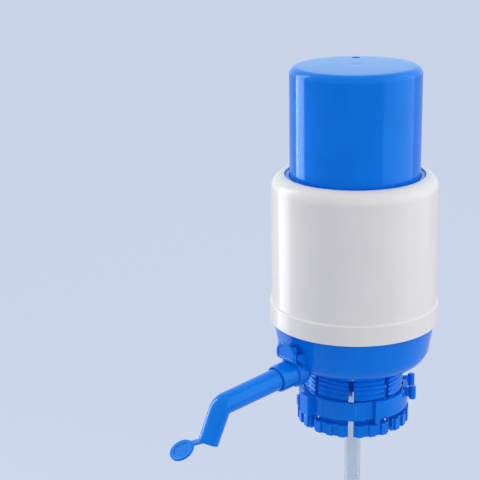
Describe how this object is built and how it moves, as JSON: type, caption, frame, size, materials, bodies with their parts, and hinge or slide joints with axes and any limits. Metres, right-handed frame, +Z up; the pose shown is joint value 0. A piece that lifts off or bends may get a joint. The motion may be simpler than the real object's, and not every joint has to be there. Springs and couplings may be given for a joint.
{
  "type": "water jug hand pump",
  "caption": "Hand pump for a large water jug: a sprung cap on a bellows blows air into the jug, and water rises through a dip tube to a swivelling spout.",
  "frame": {"origin": "on the pump's axis, in the plane where the jug's rim meets the gasket", "axes": "+Z up along the pump's axis, -Y the way the spout points, +X to the right of someone who faces the spout from behind the pump"},
  "size_m": [0.104, 0.1922, 0.4607],
  "materials": {
    "blue_plastic": "glossy",
    "white_plastic": "glossy",
    "natural_plastic": "satin, translucent",
    "white_rubber": "matte",
    "dark_rubber": "matte",
    "steel": "bright"
  },
  "bodies": {
    "base": {"base_housing": "blue_plastic", "outer_shell": "white_plastic", "cap_retainer": "blue_plastic", "valve_plate": "white_plastic", "bellows_clamp_ring": "white_plastic", "chamber_seal": "dark_rubber", "bellows": "white_rubber", "return_spring": "steel", "water_elbow": "white_plastic", "elbow_grommet": "white_rubber", "elbow_seal": "dark_rubber", "bottle_gasket": "white_rubber", "vent_pin": "blue_plastic", "dip_tube_upper": "natural_plastic", "tube_coupler": "white_plastic", "dip_tube_lower": "natural_plastic", "strainer_foot": "white_plastic"},
    "cap": {"press_cap": "blue_plastic", "bellows_head": "white_plastic"},
    "inlet": {"inlet_valve": "white_rubber"},
    "outlet": {"outlet_valve": "white_rubber"},
    "clamp": {"clamp_ring": "blue_plastic"},
    "spout": {"spout": "blue_plastic", "spout_seal": "dark_rubber"},
    "tip_cap": {"dust_cap": "blue_plastic"},
    "lever": {"vent_lever": "blue_plastic"},
    "vent": {"vent_valve": "dark_rubber"}
  },
  "joints": [
    {"name": "cap_press", "type": "slide", "parent": "base", "child": "cap", "axis": [0, 0, -1], "range_m": [0, 0.048], "stiffness_N_per_m": 300, "springref_m": -0.008, "deforming": ["bellows", "return_spring"]},
    {"name": "inlet_lift", "type": "slide", "parent": "cap", "child": "inlet", "axis": [0, 0, -1], "range_m": [0, 0.0012], "stiffness_N_per_m": 60},
    {"name": "outlet_lift", "type": "slide", "parent": "base", "child": "outlet", "axis": [0, 0, -1], "range_m": [0, 0.0012], "stiffness_N_per_m": 60},
    {"name": "clamp_turn", "type": "hinge", "parent": "base", "child": "clamp", "pos_m": [0, 0, -0.0138], "axis": [0, 0, 1], "range_deg": [0, 90]},
    {"name": "spout_swivel", "type": "hinge", "parent": "base", "child": "spout", "pos_m": [0, -0.06268, 0.00535], "axis": [0, -0.9934, -0.1149], "range_deg": [-90, 90]},
    {"name": "dust_cap_swing", "type": "hinge", "parent": "spout", "child": "tip_cap", "pos_m": [0, -0.12343, -0.01567], "axis": [1, 0, 0], "range_deg": [0, 125]},
    {"name": "vent_press", "type": "hinge", "parent": "base", "child": "lever", "pos_m": [0, -0.0515, 0.0186], "axis": [-1, 0, 0], "range_deg": [0, 14]},
    {"name": "vent_push", "type": "slide", "parent": "base", "child": "vent", "axis": [0, 1, 0], "range_m": [0, 0.00132], "stiffness_N_per_m": 60}
  ],
  "couplings": [
    {"joint": "vent_press", "follows": "vent_push", "rad_per_m": 185}
  ]
}
